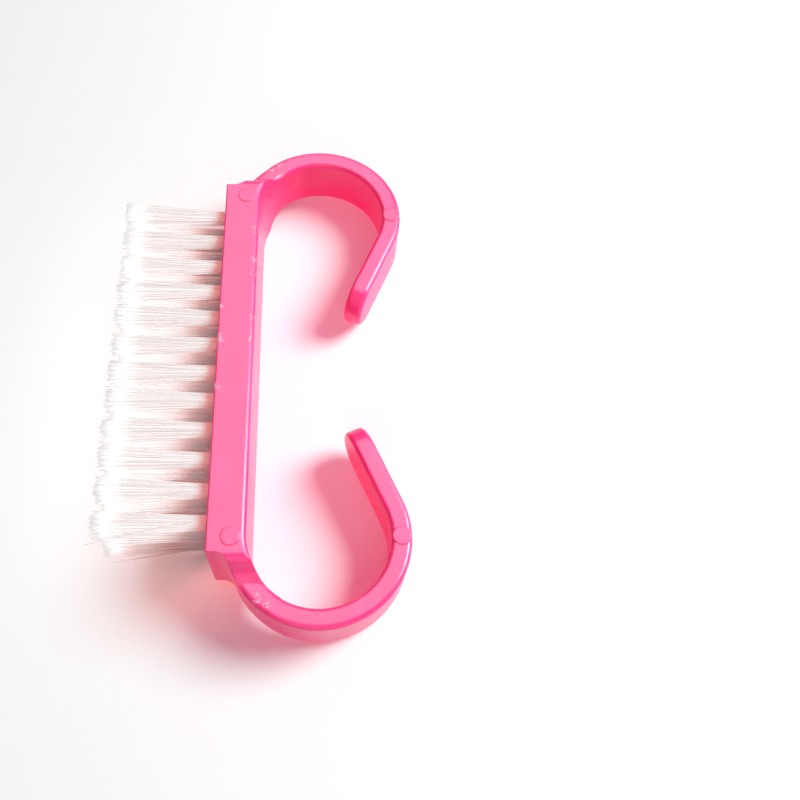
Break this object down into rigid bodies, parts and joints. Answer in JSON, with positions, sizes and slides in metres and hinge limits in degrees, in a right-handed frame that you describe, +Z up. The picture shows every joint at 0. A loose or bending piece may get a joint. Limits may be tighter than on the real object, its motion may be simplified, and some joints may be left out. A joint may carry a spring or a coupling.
{
  "type": "acrylic nail brush",
  "caption": "Finger-grip nail brush: a moulded bar with two open finger hooks, and rows of flexible nylon tufts stapled into its face.",
  "frame": {"origin": "middle of the side face that the bar lies on", "axes": "+Z up through the bar's depth, +Y along the bar, +X from the tufts towards the finger hooks"},
  "size_m": [0.0353, 0.065, 0.0121],
  "materials": {
    "grip_plastic": "glossy, slightly translucent injection-moulded plastic",
    "nylon": "satin translucent nylon filament",
    "anchor_wire": "flat drawn wire"
  },
  "bodies": {
    "grip": {"handle": "grip_plastic", "upper_row_roots": "nylon", "middle_row_roots": "nylon", "lower_row_roots": "nylon", "upper_row_anchors": "anchor_wire", "middle_row_anchors": "anchor_wire", "lower_row_anchors": "anchor_wire"},
    "tufts_01": {"upper_tuft_01": "nylon", "middle_tuft_01": "nylon", "lower_tuft_01": "nylon"},
    "tufts_02": {"upper_tuft_02": "nylon", "middle_tuft_02": "nylon", "lower_tuft_02": "nylon"},
    "tufts_03": {"upper_tuft_03": "nylon", "middle_tuft_03": "nylon", "lower_tuft_03": "nylon"},
    "tufts_04": {"upper_tuft_04": "nylon", "middle_tuft_04": "nylon", "lower_tuft_04": "nylon"},
    "tufts_05": {"upper_tuft_05": "nylon", "middle_tuft_05": "nylon", "lower_tuft_05": "nylon"},
    "tufts_06": {"upper_tuft_06": "nylon", "middle_tuft_06": "nylon", "lower_tuft_06": "nylon"},
    "tufts_07": {"upper_tuft_07": "nylon", "middle_tuft_07": "nylon", "lower_tuft_07": "nylon"},
    "tufts_08": {"upper_tuft_08": "nylon", "middle_tuft_08": "nylon", "lower_tuft_08": "nylon"},
    "tufts_09": {"upper_tuft_09": "nylon", "middle_tuft_09": "nylon", "lower_tuft_09": "nylon"},
    "tufts_10": {"upper_tuft_10": "nylon", "middle_tuft_10": "nylon", "lower_tuft_10": "nylon"},
    "tufts_11": {"upper_tuft_11": "nylon", "middle_tuft_11": "nylon", "lower_tuft_11": "nylon"},
    "tufts_12": {"upper_tuft_12": "nylon", "middle_tuft_12": "nylon", "lower_tuft_12": "nylon"}
  },
  "joints": [
    {"name": "tufts_01_bend", "type": "hinge", "parent": "grip", "child": "tufts_01", "pos_m": [-0.0025, 0.02063, 0.006], "axis": [0, 0, 1], "range_deg": [-20, 20], "stiffness_Nm_per_rad": 0.0004},
    {"name": "tufts_02_bend", "type": "hinge", "parent": "grip", "child": "tufts_02", "pos_m": [-0.0025, 0.01688, 0.006], "axis": [0, 0, 1], "range_deg": [-20, 20], "stiffness_Nm_per_rad": 0.0004},
    {"name": "tufts_03_bend", "type": "hinge", "parent": "grip", "child": "tufts_03", "pos_m": [-0.0025, 0.01312, 0.006], "axis": [0, 0, 1], "range_deg": [-20, 20], "stiffness_Nm_per_rad": 0.0004},
    {"name": "tufts_04_bend", "type": "hinge", "parent": "grip", "child": "tufts_04", "pos_m": [-0.0025, 0.00937, 0.006], "axis": [0, 0, 1], "range_deg": [-20, 20], "stiffness_Nm_per_rad": 0.0004},
    {"name": "tufts_05_bend", "type": "hinge", "parent": "grip", "child": "tufts_05", "pos_m": [-0.0025, 0.00562, 0.006], "axis": [0, 0, 1], "range_deg": [-20, 20], "stiffness_Nm_per_rad": 0.0004},
    {"name": "tufts_06_bend", "type": "hinge", "parent": "grip", "child": "tufts_06", "pos_m": [-0.0025, 0.00187, 0.006], "axis": [0, 0, 1], "range_deg": [-20, 20], "stiffness_Nm_per_rad": 0.0004},
    {"name": "tufts_07_bend", "type": "hinge", "parent": "grip", "child": "tufts_07", "pos_m": [-0.0025, -0.00187, 0.006], "axis": [0, 0, 1], "range_deg": [-20, 20], "stiffness_Nm_per_rad": 0.0004},
    {"name": "tufts_08_bend", "type": "hinge", "parent": "grip", "child": "tufts_08", "pos_m": [-0.0025, -0.00562, 0.006], "axis": [0, 0, 1], "range_deg": [-20, 20], "stiffness_Nm_per_rad": 0.0004},
    {"name": "tufts_09_bend", "type": "hinge", "parent": "grip", "child": "tufts_09", "pos_m": [-0.0025, -0.00937, 0.006], "axis": [0, 0, 1], "range_deg": [-20, 20], "stiffness_Nm_per_rad": 0.0004},
    {"name": "tufts_10_bend", "type": "hinge", "parent": "grip", "child": "tufts_10", "pos_m": [-0.0025, -0.01312, 0.006], "axis": [0, 0, 1], "range_deg": [-20, 20], "stiffness_Nm_per_rad": 0.0004},
    {"name": "tufts_11_bend", "type": "hinge", "parent": "grip", "child": "tufts_11", "pos_m": [-0.0025, -0.01688, 0.006], "axis": [0, 0, 1], "range_deg": [-20, 20], "stiffness_Nm_per_rad": 0.0004},
    {"name": "tufts_12_bend", "type": "hinge", "parent": "grip", "child": "tufts_12", "pos_m": [-0.0025, -0.02063, 0.006], "axis": [0, 0, 1], "range_deg": [-20, 20], "stiffness_Nm_per_rad": 0.0004}
  ],
  "couplings": [
    {"joint": "tufts_02_bend", "follows": "tufts_01_bend", "ratio": 1},
    {"joint": "tufts_03_bend", "follows": "tufts_01_bend", "ratio": 1},
    {"joint": "tufts_04_bend", "follows": "tufts_01_bend", "ratio": 1},
    {"joint": "tufts_05_bend", "follows": "tufts_01_bend", "ratio": 1},
    {"joint": "tufts_06_bend", "follows": "tufts_01_bend", "ratio": 1},
    {"joint": "tufts_07_bend", "follows": "tufts_01_bend", "ratio": 1},
    {"joint": "tufts_08_bend", "follows": "tufts_01_bend", "ratio": 1},
    {"joint": "tufts_09_bend", "follows": "tufts_01_bend", "ratio": 1},
    {"joint": "tufts_10_bend", "follows": "tufts_01_bend", "ratio": 1},
    {"joint": "tufts_11_bend", "follows": "tufts_01_bend", "ratio": 1},
    {"joint": "tufts_12_bend", "follows": "tufts_01_bend", "ratio": 1}
  ]
}
